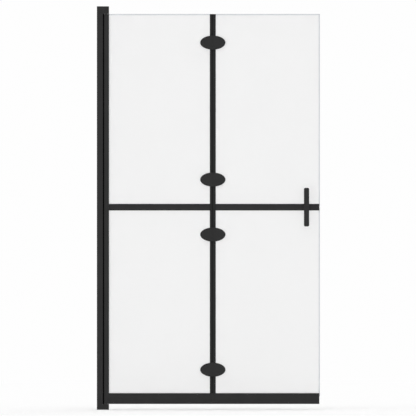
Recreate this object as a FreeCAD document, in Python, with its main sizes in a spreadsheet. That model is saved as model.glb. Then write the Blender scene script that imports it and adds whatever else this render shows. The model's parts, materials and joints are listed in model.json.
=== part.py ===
import FreeCAD, Part
import os
import Sketcher

# Folding walk-in shower screen: a wall post, two glazed leaves, four oval hinges and a pull handle.
# Millimetres. +X runs from the wall to the free edge, +Y into the shower and +Z up. The origin lies
# on the wall plane, at tray level, in the middle of the glass thickness.

# Driving sizes
SIZES = {
    # Whole screen
    "screen_height": 1900.0,
    "screen_width": 1050.0,
    "fold_from_wall": 546.0,
    "panel_floor_gap": 27.0,
    "panel_head_drop": 36.5,
    "glass_thickness": 5.0,
    "glass_arris": 0.8,
    # Small clearances
    "fit_gap": 0.05,
    "run_gap": 0.1,
    "slip_gap": 0.2,
    "end_gap": 0.5,
    # Wall channel and post
    "post_width": 28.5,
    "post_depth": 24.0,
    "post_wall": 1.8,
    "post_web": 4.5,
    "post_round": 2.0,
    "post_wall_gap": 1.0,
    "channel_wall": 2.0,
    "channel_end_gap": 2.0,
    "wall_hole": 6.5,
    "wall_hole_inset": 100.0,
    "wall_hole_inner_spacing": 560.0,
    "cap_roof": 3.0,
    "cap_nose_round": 4.0,
    "cap_rim_round": 1.5,
    "post_screw_spacing": 700.0,
    "post_screw": 4.0,
    "post_screw_length": 8.0,
    "post_screw_head": 8.0,
    "post_screw_head_height": 2.4,
    "post_screw_socket": 2.5,
    # Pivot seal
    "fin_base_width": 8.0,
    "fin_base": 1.2,
    "fin_thickness": 1.6,
    "fin_overlap": 0.4,
    "fin_clearance": 0.4,
    "fin_root_round": 0.8,
    "fin_tip_round": 0.5,
    # Swing profile and pivots
    "swing_depth": 20.0,
    "swing_wall": 1.5,
    "swing_round": 3.0,
    "swing_lip_round": 1.0,
    "chamber_width": 11.5,
    "swing_slot_depth": 9.0,
    "pivot_clearance": 1.06,
    "pivot_pin": 6.0,
    "pivot_pin_in_cap": 18.0,
    "pivot_pin_in_bush": 18.0,
    "pin_chamfer": 0.6,
    "bush_height": 25.0,
    "bush_proud": 0.35,
    # Rails and glazing gaskets
    "gasket_side": 1.0,
    "gasket_base": 1.2,
    "middle_rail_centre": 954.0,
    "middle_rail_height": 31.0,
    "middle_rail_depth": 11.0,
    "middle_slot_depth": 13.0,
    "bottom_rail_height": 51.0,
    "bottom_rail_depth": 14.0,
    "bottom_slot_depth": 15.0,
    "rail_wall": 1.6,
    "rail_round": 1.0,
    "rail_fold_gap": 0.3,
    "rail_free_setback": 2.4,
    "end_plate": 2.0,
    "end_tenon": 8.0,
    "tongue_thickness": 2.4,
    "tongue_overlap": 0.8,
    "tongue_gap": 0.3,
    # Fold seals
    "fold_glass_gap": 5.0,
    "inner_seal_reach": 14.0,
    "inner_seal_face": 2.5,
    "seal_lip_thickness": 1.6,
    "seal_lip_overlap": 0.8,
    "seal_lip_gap": 0.3,
    "outer_seal_reach": 13.7,
    "outer_seal_face": 0.6,
    "outer_seal_wall": 1.2,
    "seal_round": 1.2,
    "seal_plate_gap": 0.2,
    # Oval hinges
    "top_hinge_drop": 134.5,
    "upper_hinge_rise": 130.0,
    "lower_hinge_drop": 129.0,
    "bottom_hinge_rise": 110.5,
    "hinge_length": 119.0,
    "hinge_height": 66.0,
    "hinge_seam": 0.4,
    "plate_thickness": 7.0,
    "plate_round": 2.0,
    "leaf_thickness": 4.0,
    "leaf_round": 1.2,
    "knuckle": 10.0,
    "centre_knuckle": 24.0,
    "knuckle_inset": 3.8,
    "knuckle_relief": 0.4,
    "hinge_pin": 6.0,
    "hinge_pin_head": 7.6,
    "hinge_pin_head_height": 1.5,
    "washer_thickness": 1.0,
    "pad_thickness": 1.5,
    "pad_inset": 2.0,
    "glass_hole": 10.0,
    "hinge_screw_out": 34.0,
    "hinge_screw_rise": 13.0,
    "hinge_screw": 5.0,
    "hinge_screw_head": 9.2,
    "hinge_screw_grip": 5.0,
    "hinge_screw_socket": 3.0,
    # Pull handle
    "handle_from_edge": 62.7,
    "handle_width": 24.5,
    "handle_length": 182.0,
    "handle_depth": 12.0,
    "handle_corner": 6.5,
    "handle_edge_round": 2.5,
    "handle_spacing": 128.0,
    "standoff": 14.0,
    "standoff_length": 24.0,
    "standoff_chamfer": 0.6,
    "handle_washer": 18.0,
    "handle_washer_thickness": 1.0,
    "handle_bolt": 6.0,
    "handle_bolt_grip": 7.0,
    "handle_bolt_head": 17.0,
    "handle_bolt_head_height": 6.0,
    "handle_bolt_socket": 4.0,
    "socket_depth": 1.6,
    "screw_tip": 0.6,
}

# Places and sizes that follow from the driving sizes
PLACES = {
    "half_glass": "Sizes.glass_thickness / 2",
    "panel_top": "Sizes.screen_height - Sizes.panel_head_drop",
    "panel_height": "panel_top - Sizes.panel_floor_gap",
    "bottom_cap_height": "Sizes.panel_floor_gap - Sizes.end_gap",
    "top_cap_height": "Sizes.panel_head_drop - Sizes.end_gap",
    "top_cap_floor": "Sizes.screen_height - top_cap_height",
    "post_half": "Sizes.post_depth / 2",
    "post_inner": "post_half - Sizes.post_wall",
    "post_height": "top_cap_floor - bottom_cap_height",
    "channel_half": "post_inner - Sizes.slip_gap",
    "channel_inner": "channel_half - Sizes.channel_wall",
    "channel_depth": "Sizes.post_width - Sizes.post_web - Sizes.channel_end_gap",
    "channel_height": "Sizes.screen_height - Sizes.cap_roof - Sizes.slip_gap",
    "channel_middle": "Sizes.screen_height / 2",
    "wall_hole_outer_spacing": "Sizes.screen_height - 2 * Sizes.wall_hole_inset",
    "post_screw_x": "(channel_depth + Sizes.channel_wall) / 2",
    "post_screw_hole": "Sizes.post_screw + 2 * Sizes.fit_gap",
    "swing_half": "Sizes.swing_depth / 2",
    "swing_width": "2 * Sizes.swing_wall + Sizes.chamber_width + Sizes.swing_slot_depth",
    "pivot_set": "Sizes.swing_wall + Sizes.chamber_width / 2",
    "chamber_round": "Sizes.swing_round - Sizes.swing_wall",
    "swing_corner": "sqrt((pivot_set - Sizes.swing_round)^2 + (swing_half - Sizes.swing_round)^2)",
    "swing_sweep": "swing_corner + Sizes.swing_round - pivot_set",
    "swing_left": "Sizes.post_width + Sizes.pivot_clearance + swing_sweep",
    "swing_right": "swing_left + swing_width",
    "slot_floor": "swing_right - Sizes.swing_slot_depth",
    "pivot_x": "swing_left + pivot_set",
    "pivot_to_post": "pivot_x - Sizes.post_width",
    "fin_length": "swing_left - Sizes.post_width + Sizes.fin_overlap",
    "fin_bottom": "bottom_cap_height + Sizes.slip_gap",
    "fin_height": "post_height - 2 * Sizes.slip_gap",
    "fin_sweep": "sqrt((pivot_to_post + Sizes.fin_overlap)^2 + (Sizes.fin_thickness / 2)^2)",
    "fin_groove_half": "sqrt(fin_sweep^2 - pivot_to_post^2) + Sizes.fin_clearance",
    "fin_groove_floor": "Sizes.post_width - Sizes.fin_overlap - Sizes.fin_clearance",
    "pivot_pin_length": "Sizes.pivot_pin_in_cap + Sizes.end_gap + Sizes.pivot_pin_in_bush",
    "gasket_inner": "half_glass + Sizes.fit_gap",
    "gasket_outer": "gasket_inner + Sizes.gasket_side",
    "slot_half": "gasket_outer + Sizes.fit_gap",
    "glass_seat": "Sizes.gasket_base + Sizes.fit_gap",
    "middle_rail_bottom": "Sizes.middle_rail_centre - Sizes.middle_rail_height / 2",
    "middle_rail_top": "middle_rail_bottom + Sizes.middle_rail_height",
    "bottom_rail_top": "Sizes.panel_floor_gap + Sizes.bottom_rail_height",
    "upper_slot_floor": "middle_rail_top - Sizes.middle_slot_depth",
    "lower_slot_roof": "middle_rail_bottom + Sizes.middle_slot_depth",
    "bottom_slot_floor": "bottom_rail_top - Sizes.bottom_slot_depth",
    "upper_glass_bottom": "upper_slot_floor + glass_seat",
    "upper_glass_height": "panel_top - upper_glass_bottom",
    "lower_glass_bottom": "bottom_slot_floor + glass_seat",
    "lower_glass_height": "lower_slot_roof - glass_seat - lower_glass_bottom",
    "inner_glass_left": "slot_floor + glass_seat",
    "inner_glass_width": "Sizes.fold_from_wall - Sizes.fold_glass_gap - inner_glass_left",
    "outer_glass_left": "Sizes.fold_from_wall + Sizes.fold_glass_gap",
    "outer_glass_width": "Sizes.screen_width - outer_glass_left",
    "inner_middle_length": "Sizes.fold_from_wall - Sizes.inner_seal_reach - swing_right",
    "outer_middle_left": "Sizes.fold_from_wall + Sizes.outer_seal_reach",
    "rail_free_end": "Sizes.screen_width - Sizes.rail_free_setback",
    "outer_middle_length": "rail_free_end - outer_middle_left",
    "inner_bottom_end": "Sizes.fold_from_wall - Sizes.rail_fold_gap",
    "inner_bottom_span": "inner_bottom_end - swing_right",
    "inner_bottom_length": "inner_bottom_span - Sizes.end_plate",
    "inner_bottom_gasket": "Sizes.fold_from_wall - Sizes.fold_glass_gap - swing_right",
    "outer_bottom_start": "Sizes.fold_from_wall + Sizes.rail_fold_gap",
    "outer_bottom_span": "rail_free_end - outer_bottom_start",
    "outer_bottom_length": "outer_bottom_span - 2 * Sizes.end_plate",
    "outer_bottom_gasket": "rail_free_end - outer_glass_left",
    "tongue_half": "Sizes.tongue_thickness / 2",
    "tongue_length": "2 * Sizes.rail_fold_gap + Sizes.tongue_overlap",
    "tongue_groove_half": "tongue_half + Sizes.tongue_gap",
    "tongue_groove_depth": "Sizes.tongue_overlap + Sizes.tongue_gap",
    "rail_chamber_top": "Sizes.bottom_rail_height - Sizes.bottom_slot_depth - Sizes.rail_wall",
    "rail_chamber_half": "Sizes.bottom_rail_depth / 2 - Sizes.rail_wall",
    "seal_length": "panel_top - bottom_rail_top",
    "hinge_1_level": "panel_top - Sizes.top_hinge_drop",
    "hinge_2_level": "Sizes.middle_rail_centre + Sizes.upper_hinge_rise",
    "hinge_3_level": "Sizes.middle_rail_centre - Sizes.lower_hinge_drop",
    "hinge_4_level": "bottom_rail_top + Sizes.bottom_hinge_rise",
    "plate_face": "half_glass + Sizes.pad_thickness",
    "seal_half": "plate_face - Sizes.seal_plate_gap",
    "seal_lip_tip": "Sizes.seal_lip_overlap - Sizes.outer_seal_face",
    "seal_lip_half": "Sizes.seal_lip_thickness / 2",
    "leaf_axis": "Sizes.leaf_thickness + Sizes.hinge_pin_head / 2 + Sizes.slip_gap",
    "fold_axis_y": "plate_face + leaf_axis",
    "knuckle_gap": "Sizes.washer_thickness + 2 * Sizes.run_gap",
    "side_knuckle_start": "Sizes.centre_knuckle / 2 + knuckle_gap",
    "side_knuckle_end": "Sizes.hinge_height / 2 - Sizes.knuckle_inset",
    "side_knuckle": "side_knuckle_end - side_knuckle_start",
    "knuckle_stack": "2 * side_knuckle_end",
    "hinge_pin_hole": "Sizes.hinge_pin + 2 * Sizes.run_gap",
    "hinge_screw_hole": "Sizes.hinge_screw + 2 * Sizes.run_gap",
    "hinge_screw_length": "2 * plate_face + Sizes.leaf_thickness + Sizes.hinge_screw_grip",
    "collar": "Sizes.glass_hole - 2 * Sizes.run_gap",
    "collar_height": "half_glass - Sizes.slip_gap",
    "inner_pad_edge": "Sizes.inner_seal_reach + Sizes.seal_plate_gap",
    "outer_pad_edge": "Sizes.outer_seal_reach + Sizes.seal_plate_gap",
    "handle_x": "Sizes.screen_width - Sizes.handle_from_edge",
    "handle_bolt_hole": "Sizes.handle_bolt + 2 * Sizes.run_gap",
    "standoff_face": "half_glass + Sizes.handle_washer_thickness",
    "handle_back": "standoff_face + Sizes.standoff_length",
    "handle_bolt_length": "standoff_face + handle_back + Sizes.handle_bolt_grip",
}

HINGE_LEVELS = [f"Places.hinge_{index}_level" for index in range(1, 5)]
INNER = "-1"
OUTER = "1"
BOTH_SIGNS = ("-1", "1")

# Numbers of a sketch's origin and of the points of a line, arc or circle
SKETCH_ORIGIN = -1
START, END, CENTRE = range(1, 4)

# Directions and turns
ALONG_X = FreeCAD.Vector(1, 0, 0)
ALONG_Z = FreeCAD.Vector(0, 0, 1)
QUARTER_TURN = 90
THIRD_TURN = 120
HALF_TURN = 180
FULL_TURN = 360
UPSIDE_DOWN = FreeCAD.Rotation(ALONG_X, HALF_TURN)
END_FOR_END = FreeCAD.Rotation(ALONG_Z, HALF_TURN)
AXIS_TO_BACK = FreeCAD.Rotation(ALONG_X, -QUARTER_TURN)
OPEN_TO_FREE_EDGE = FreeCAD.Rotation(ALONG_Z, -QUARTER_TURN)
RAIL_OPEN_UP = FreeCAD.Rotation(FreeCAD.Vector(1, 1, 1), THIRD_TURN)
RAIL_OPEN_DOWN = UPSIDE_DOWN.multiply(RAIL_OPEN_UP)
PLACE_TOLERANCE = 0.0001

doc = FreeCAD.newDocument("FoldingShowerScreen")
nodes = []


def fill_sheet(name, rows, prefix):
    """Spreadsheet with one named cell a row."""
    sheet = doc.addObject("Spreadsheet::Sheet", name)
    for row, (alias, content) in enumerate(rows.items(), start=1):
        sheet.set(f"A{row}", alias)
        sheet.set(f"B{row}", f"{prefix}{content}")
        sheet.setAlias(f"B{row}", alias)
    doc.recompute()
    return sheet


fill_sheet("Sizes", SIZES, "")
places = fill_sheet("Places", PLACES, "=")


def number(expression):
    """Present value of an expression in the sizes."""
    return float(places.evalExpression(expression))


def move(item, x, y, z):
    """Bind the place of an object to three expressions."""
    for axis, expression in (("x", x), ("y", y), ("z", z)):
        item.setExpression(f"Placement.Base.{axis}", expression)


def new_body(label, x="0", y="0", z="0", turn=FreeCAD.Rotation()):
    """Empty body with its own label, turned and then placed by three expressions."""
    body = doc.addObject("PartDesign::Body", label)
    body.Label = label
    body.Placement = FreeCAD.Placement(FreeCAD.Vector(), turn)
    move(body, x, y, z)
    return body


def new_sketch(body, name, plane, offset=None):
    """Sketch on one of the body's own planes, moved along the plane's normal by an expression."""
    sketch = body.newObject("Sketcher::SketchObject", name)
    support = next(item for item in body.Origin.OriginFeatures if item.Role == plane)
    sketch.AttachmentSupport = [(support, "")]
    sketch.MapMode = "FlatFace"
    if offset:
        sketch.setExpression("AttachmentOffset.Base.z", offset)
    return sketch


def hold(sketch, geometry, point, across, up):
    """Hold a point of a sketch at two expressions measured from the sketch's origin."""
    for kind, expression in (("DistanceX", across), ("DistanceY", up)):
        rule = Sketcher.Constraint(kind, SKETCH_ORIGIN, START, geometry, point, number(expression))
        row = sketch.addConstraint(rule)
        sketch.setExpression(f"Constraints[{row}]", expression)


def hold_size(sketch, kind, geometry, expression):
    """Hold the diameter or length of one piece of a sketch at an expression."""
    row = sketch.addConstraint(Sketcher.Constraint(kind, geometry, number(expression)))
    sketch.setExpression(f"Constraints[{row}]", expression)


def draw_outline(sketch, corners):
    """Closed outline of straight lines, whose corners are pairs of expressions."""
    points = [FreeCAD.Vector(number(across), number(up), 0) for across, up in corners]
    first = sketch.GeometryCount
    for start, end in zip(points, points[1:] + points[:1]):
        sketch.addGeometry(Part.LineSegment(start, end), False)
    for index, (across, up) in enumerate(corners):
        following = first + (index + 1) % len(corners)
        sketch.addConstraint(Sketcher.Constraint("Coincident", first + index, END, following, START))
        hold(sketch, first + index, START, across, up)


def draw_rectangle(sketch, left, right, bottom, top):
    """Rectangle between four expressions."""
    draw_outline(sketch, [(left, bottom), (right, bottom), (right, top), (left, top)])


def draw_circle(sketch, across, up, diameter):
    """Circle of a given diameter about a point."""
    centre = FreeCAD.Vector(number(across), number(up), 0)
    circle = sketch.addGeometry(Part.Circle(centre, ALONG_Z, number(diameter) / 2), False)
    hold(sketch, circle, CENTRE, across, up)
    hold_size(sketch, "Diameter", circle, diameter)


def draw_oval(sketch, side, length, height):
    """Ellipse about the sketch's origin, with its long axis level and its seam away from the side in use."""
    towards = -number(side) / 2
    tip = FreeCAD.Vector(towards * number(length), 0, 0)
    crown = FreeCAD.Vector(0, towards * number(height), 0)
    oval = sketch.addGeometry(Part.Ellipse(tip, crown, FreeCAD.Vector()), False)
    sketch.exposeInternalGeometry(oval)
    long_axis = oval + 1
    short_axis = oval + 2
    sketch.addConstraint(Sketcher.Constraint("Coincident", oval, CENTRE, SKETCH_ORIGIN, START))
    sketch.addConstraint(Sketcher.Constraint("Horizontal", long_axis))
    hold_size(sketch, "Distance", long_axis, length)
    hold_size(sketch, "Distance", short_axis, height)


def draw_hexagon(sketch, flats):
    """Hexagon about the sketch's origin, given across its flats."""
    far = f"{flats} / sqrt(3)"
    near = f"{flats} / (2 * sqrt(3))"
    side = f"{flats} / 2"
    draw_outline(sketch, [
        (far, "0"), (near, side), (f"-{near}", side),
        (f"-{far}", "0"), (f"-{near}", f"-{side}"), (near, f"-{side}"),
    ])


def mirror_up(half):
    """Corners of one side of an outline, then the same corners mirrored to the sketch's other side."""
    return half + [(across, f"-({up})") for across, up in reversed(half)]


def mirror_across(half):
    """Corners of the right of an outline, then the same corners mirrored to its left."""
    return half + [(f"-({across})", up) for across, up in reversed(half)]


def pad(body, name, sketch, length, side="One side", reverse=False):
    """Material along the sketch's normal, or against it."""
    feature = body.newObject("PartDesign::Pad", name)
    feature.Profile = sketch
    feature.setExpression("Length", length)
    feature.SideType = side
    feature.Reversed = reverse
    doc.recompute()
    return feature


def pocket(body, name, sketch, depth, side="One side", reverse=False):
    """Cut against the sketch's normal, or along it, that has to take material away."""
    before = body.Shape.Volume
    feature = body.newObject("PartDesign::Pocket", name)
    feature.Profile = sketch
    feature.setExpression("Length", depth)
    feature.SideType = side
    feature.Reversed = reverse
    doc.recompute()
    if body.Shape.Volume >= before:
        raise ValueError(f"{body.Label}: {name} cuts nothing")
    return feature


def revolve(body, name, corners):
    """Solid of revolution about the body's Z axis, from corners given as radius and height."""
    sketch = new_sketch(body, f"{name}_section", "XZ_Plane")
    draw_outline(sketch, corners)
    feature = body.newObject("PartDesign::Revolution", name)
    feature.Profile = sketch
    feature.ReferenceAxis = (sketch, ["V_Axis"])
    feature.Angle = FULL_TURN
    doc.recompute()
    return feature


def edges_at(body, x=None, y=None, z=None):
    """Names of the edges of a body's last feature that lie wholly at the given places."""
    wanted = [(axis, number(place)) for axis, place in (("X", x), ("Y", y), ("Z", z)) if place]
    names = []
    for index, edge in enumerate(body.Tip.Shape.Edges, start=1):
        box = edge.BoundBox
        ends = [(getattr(box, f"{axis}Min"), getattr(box, f"{axis}Max"), place) for axis, place in wanted]
        if all(max(abs(low - place), abs(high - place)) < PLACE_TOLERANCE for low, high, place in ends):
            names.append(f"Edge{index}")
    return names


def edge_pair(body, x, half_depth):
    """Names of the two upright edges at one place along X and at both signs of a depth."""
    return [
        name for sign in BOTH_SIGNS
        for name in edges_at(body, x=x, y=f"{sign} * ({half_depth})")
    ]


def dress(body, kind, name, edges, size_name, size):
    """Round or chamfer the named edges of the body's last feature."""
    base = body.Tip
    feature = body.newObject(kind, name)
    feature.Base = (base, edges)
    feature.setExpression(size_name, size)
    doc.recompute()
    return feature


def round_edges(body, name, edges, radius):
    """Round edges to a radius."""
    return dress(body, "PartDesign::Fillet", name, edges, "Radius", radius)


def chamfer_edges(body, name, edges, width):
    """Chamfer edges to a width."""
    return dress(body, "PartDesign::Chamfer", name, edges, "Size", width)


def copy_at(source, x, y, z, turn=FreeCAD.Rotation()):
    """Linked copy of a body at another place."""
    link = doc.addObject("App::Link", f"{source.Name}_copy")
    link.LinkedObject = source
    link.Placement = FreeCAD.Placement(FreeCAD.Vector(), turn)
    move(link, x, y, z)
    return link


def group(label, members):
    """Several separate solids under one label."""
    compound = doc.addObject("Part::Compound", label)
    compound.Label = label
    compound.Links = members
    nodes.append(compound)


# Wall post

def post_screw_levels():
    """Heights of the screws on the post's inside face: two hold the end caps, three lock the post."""
    return [
        "Places.bottom_cap_height / 2",
        "Places.channel_middle - Sizes.post_screw_spacing",
        "Places.channel_middle",
        "Places.channel_middle + Sizes.post_screw_spacing",
        "Places.top_cap_floor + Places.top_cap_height / 2",
    ]


def build_wall_channel():
    """U channel that is screwed to the wall."""
    body = new_body("wall_channel")
    section = new_sketch(body, "channel_section", "XY_Plane")
    draw_outline(section, mirror_up([
        ("0", "Places.channel_half"),
        ("Places.channel_depth", "Places.channel_half"),
        ("Places.channel_depth", "Places.channel_inner"),
        ("Sizes.channel_wall", "Places.channel_inner"),
    ]))
    pad(body, "channel_bar", section, "Places.channel_height")
    rows = new_sketch(body, "wall_hole_rows", "YZ_Plane")
    for spacing in ("Places.wall_hole_outer_spacing", "Sizes.wall_hole_inner_spacing"):
        for sign in BOTH_SIGNS:
            draw_circle(rows, "0", f"Places.channel_middle + {sign} * {spacing} / 2", "Sizes.wall_hole")
    pocket(body, "wall_holes", rows, "Sizes.channel_wall", reverse=True)
    threads = new_sketch(body, "screw_rows", "XZ_Plane")
    for level in post_screw_levels():
        draw_circle(threads, "Places.post_screw_x", level, "Places.post_screw_hole")
    pocket(body, "screw_holes", threads, "Sizes.post_depth")
    nodes.append(body)


def build_post_profile():
    """Outer profile that slides over the channel, with a groove that the pivot seal's fin sweeps through."""
    body = new_body("post_profile", z="Places.bottom_cap_height")
    section = new_sketch(body, "post_section", "XY_Plane")
    draw_outline(section, mirror_up([
        ("Sizes.post_width - Sizes.post_web", "Places.post_inner"),
        ("Sizes.post_wall_gap", "Places.post_inner"),
        ("Sizes.post_wall_gap", "Places.post_half"),
        ("Sizes.post_width", "Places.post_half"),
        ("Sizes.post_width", "Places.fin_groove_half"),
        ("Places.fin_groove_floor", "Places.fin_groove_half"),
    ]))
    pad(body, "post_bar", section, "Places.post_height")
    front_edges = edge_pair(body, "Sizes.post_width", "Places.post_half")
    round_edges(body, "post_corners", front_edges, "Sizes.post_round")
    holes = new_sketch(body, "lock_screw_rows", "XZ_Plane")
    for level in post_screw_levels()[1:-1]:
        height = f"{level} - Places.bottom_cap_height"
        draw_circle(holes, "Places.post_screw_x", height, "Places.post_screw_hole")
    pocket(body, "lock_screw_holes", holes, "Sizes.post_depth")
    nodes.append(body)


def build_end_cap(label, height, cavity, z, turn, screw_to_front):
    """Moulded cap over the channel's end, with a bore for the pivot pin. Its flat side faces the panel."""
    body = new_body(label, z=z, turn=turn)
    block = new_sketch(body, "cap_outline", "XY_Plane")
    draw_rectangle(block, "0", "Places.swing_right", "-Places.post_half", "Places.post_half")
    pad(body, "cap_block", block, height)
    nose_edges = edge_pair(body, "Places.swing_right", "Places.post_half")
    round_edges(body, "cap_nose", nose_edges, "Sizes.cap_nose_round")
    wall_edges = edges_at(body, x="0", z=height)
    open_edges = [name for name in edges_at(body, z=height) if name not in wall_edges]
    round_edges(body, "cap_rim", open_edges, "Sizes.cap_rim_round")
    hollow = new_sketch(body, "channel_room", "XY_Plane")
    draw_rectangle(
        hollow, "-Sizes.slip_gap", "Places.channel_depth + Sizes.slip_gap",
        "-Places.post_inner", "Places.post_inner",
    )
    pocket(body, "channel_pocket", hollow, cavity, reverse=True)
    bore = new_sketch(body, "pivot_place", "XY_Plane")
    draw_circle(bore, "Places.pivot_x", "0", "Sizes.pivot_pin + 2 * Sizes.fit_gap")
    pocket(body, "pivot_bore", bore, "Sizes.pivot_pin_in_cap + Sizes.slip_gap", reverse=True)
    screw = new_sketch(body, "cap_screw_place", "XZ_Plane")
    draw_circle(screw, "Places.post_screw_x", f"{height} / 2", "Places.post_screw_hole")
    pocket(body, "cap_screw_hole", screw, "Sizes.post_depth", reverse=screw_to_front)
    nodes.append(body)


def build_end_caps():
    """Top cap with a closed roof, and bottom cap that the channel passes through to the tray."""
    build_end_cap(
        "top_end_cap", "Places.top_cap_height", "Places.top_cap_height - Sizes.cap_roof",
        "Places.top_cap_floor", FreeCAD.Rotation(), False,
    )
    build_end_cap(
        "bottom_end_cap", "Places.bottom_cap_height", "Places.bottom_cap_height + Sizes.slip_gap",
        "Places.bottom_cap_height", UPSIDE_DOWN, True,
    )


def build_pivot_pins():
    """Steel pins that stand in the end caps and turn in the swing profile's bushes."""
    top_start = "Places.top_cap_floor - Sizes.end_gap - Sizes.pivot_pin_in_bush"
    bottom_start = "Places.bottom_cap_height - Sizes.pivot_pin_in_cap"
    for label, start in (("top_pivot_pin", top_start), ("bottom_pivot_pin", bottom_start)):
        body = new_body(label, x="Places.pivot_x", z=start)
        section = new_sketch(body, "pin_section", "XY_Plane")
        draw_circle(section, "0", "0", "Sizes.pivot_pin")
        pad(body, "pin_rod", section, "Places.pivot_pin_length")
        ends = edges_at(body, z="0") + edges_at(body, z="Places.pivot_pin_length")
        chamfer_edges(body, "pin_ends", ends, "Sizes.pin_chamfer")
        nodes.append(body)


def add_socket(body, flats, top):
    """Hexagon socket sunk into the top of a screw."""
    sketch = new_sketch(body, "socket_outline", "XY_Plane", top)
    draw_hexagon(sketch, flats)
    pocket(body, "socket", sketch, "Sizes.socket_depth")


def build_post_screws():
    """Pan-head screws on the post's inside face."""
    body = new_body("post_screw")
    shank = "Sizes.post_screw / 2"
    head = "Sizes.post_screw_head / 2"
    crown = "Sizes.post_screw_head_height"
    revolve(body, "screw", [
        ("0", crown),
        (f"{head} - {crown} / 2", crown),
        (head, f"{crown} / 2"),
        (head, "0"),
        (shank, "0"),
        (shank, "Sizes.screw_tip - Sizes.post_screw_length"),
        (f"{shank} - Sizes.screw_tip", "-Sizes.post_screw_length"),
        ("0", "-Sizes.post_screw_length"),
    ])
    add_socket(body, "Sizes.post_screw_socket", crown)
    group("post_screws", [
        copy_at(body, "Places.post_screw_x", "Places.post_half", level, AXIS_TO_BACK)
        for level in post_screw_levels()
    ])


# Swing profile and its pivots

def build_swing_profile():
    """Hollow profile that turns on the pivots: a chamber for the bushes and a slot for the glass."""
    body = new_body("swing_profile", x="Places.swing_left", z="Sizes.panel_floor_gap")
    section = new_sketch(body, "swing_section", "XY_Plane")
    slot_floor = "Places.swing_width - Sizes.swing_slot_depth"
    chamber_right = f"{slot_floor} - Sizes.swing_wall"
    chamber_half = "Places.swing_half - Sizes.swing_wall"
    draw_outline(section, mirror_up([
        ("0", "Places.swing_half"),
        ("Places.swing_width", "Places.swing_half"),
        ("Places.swing_width", "Places.slot_half"),
        (slot_floor, "Places.slot_half"),
    ]))
    draw_rectangle(section, "Sizes.swing_wall", chamber_right, f"-({chamber_half})", chamber_half)
    for sign in BOTH_SIGNS:
        draw_rectangle(
            section, slot_floor, "Places.swing_width - Sizes.swing_wall",
            f"{sign} * (Places.slot_half + Sizes.swing_wall)", f"{sign} * ({chamber_half})",
        )
    pad(body, "swing_bar", section, "Places.panel_height")
    round_edges(body, "swing_back", edge_pair(body, "0", "Places.swing_half"), "Sizes.swing_round")
    inside = edge_pair(body, "Sizes.swing_wall", chamber_half)
    round_edges(body, "chamber_back", inside, "Places.chamber_round")
    lips = edge_pair(body, "Places.swing_width", "Places.swing_half")
    round_edges(body, "swing_lips", lips, "Sizes.swing_lip_round")
    nodes.append(body)


def build_pivot_seal():
    """Rubber strip on the swing profile's back, whose fin closes the gap to the post from cap to cap."""
    body = new_body("pivot_seal", x="Places.swing_left", z="Places.fin_bottom")
    section = new_sketch(body, "seal_section", "XY_Plane")
    fin_half = "Sizes.fin_thickness / 2"
    draw_outline(section, mirror_up([
        ("0", "Sizes.fin_base_width / 2"),
        ("-Sizes.fin_base", "Sizes.fin_base_width / 2"),
        ("-Sizes.fin_base", fin_half),
        ("-Places.fin_length", fin_half),
    ]))
    pad(body, "seal_strip", section, "Places.fin_height")
    round_edges(body, "fin_root", edge_pair(body, "-Sizes.fin_base", fin_half), "Sizes.fin_root_round")
    round_edges(body, "fin_tip", edge_pair(body, "-Places.fin_length", fin_half), "Sizes.fin_tip_round")
    nodes.append(body)


def build_pivot_bushes():
    """Plastic plugs in the swing profile's chamber, bored for the pivot pins."""
    bottom_start = "Sizes.panel_floor_gap - Sizes.bush_proud"
    top_start = "Places.panel_top + Sizes.bush_proud - Sizes.bush_height"
    half_width = "Sizes.chamber_width / 2 - Sizes.fit_gap"
    half_depth = "Places.swing_half - Sizes.swing_wall - Sizes.fit_gap"
    for label, start in (("top_pivot_bush", top_start), ("bottom_pivot_bush", bottom_start)):
        body = new_body(label, x="Places.pivot_x", z=start)
        section = new_sketch(body, "bush_section", "XY_Plane")
        draw_rectangle(section, f"-({half_width})", half_width, f"-({half_depth})", half_depth)
        pad(body, "bush_block", section, "Sizes.bush_height")
        corners = edge_pair(body, f"-({half_width})", half_depth)
        round_edges(body, "bush_back", corners, "Places.chamber_round")
        bore = new_sketch(body, "bush_bore_place", "XY_Plane")
        draw_circle(bore, "0", "0", "Sizes.pivot_pin + 2 * Sizes.run_gap")
        pocket(body, "bush_bore", bore, "Sizes.bush_height", reverse=True)
        nodes.append(body)


# Glass, rails and gaskets

def build_gasket(label, length, depth, x, z, turn):
    """U strip round a glass edge, extruded along Z and open along Y before it is turned into place."""
    body = new_body(label, x=x, z=z, turn=turn)
    section = new_sketch(body, "gasket_section", "XY_Plane")
    draw_outline(section, mirror_across([
        ("Places.gasket_outer", "0"),
        ("Places.gasket_outer", depth),
        ("Places.gasket_inner", depth),
        ("Places.gasket_inner", "Sizes.gasket_base"),
    ]))
    pad(body, "gasket_strip", section, length)
    return body


def build_swing_gaskets():
    """Two strips in the swing profile's slot, one for each pane."""
    group("swing_gaskets", [
        build_gasket(
            f"swing_{pane}_gasket", f"Places.{pane}_glass_height", "Sizes.swing_slot_depth",
            "Places.slot_floor", f"Places.{pane}_glass_bottom", OPEN_TO_FREE_EDGE,
        )
        for pane in ("upper", "lower")
    ])


def build_rail_gaskets(leaf, middle_start, middle_length, bottom_start, bottom_length):
    """Three strips of one leaf: above and below the middle rail's web, and in the bottom rail."""
    group(f"{leaf}_rail_gaskets", [
        build_gasket(
            f"{leaf}_upper_gasket", middle_length, "Sizes.middle_slot_depth",
            middle_start, "Places.upper_slot_floor", RAIL_OPEN_UP,
        ),
        build_gasket(
            f"{leaf}_lower_gasket", middle_length, "Sizes.middle_slot_depth",
            middle_start, "Places.lower_slot_roof", RAIL_OPEN_DOWN,
        ),
        build_gasket(
            f"{leaf}_bottom_gasket", bottom_length, "Sizes.bottom_slot_depth",
            bottom_start, "Places.bottom_slot_floor", RAIL_OPEN_UP,
        ),
    ])


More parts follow.
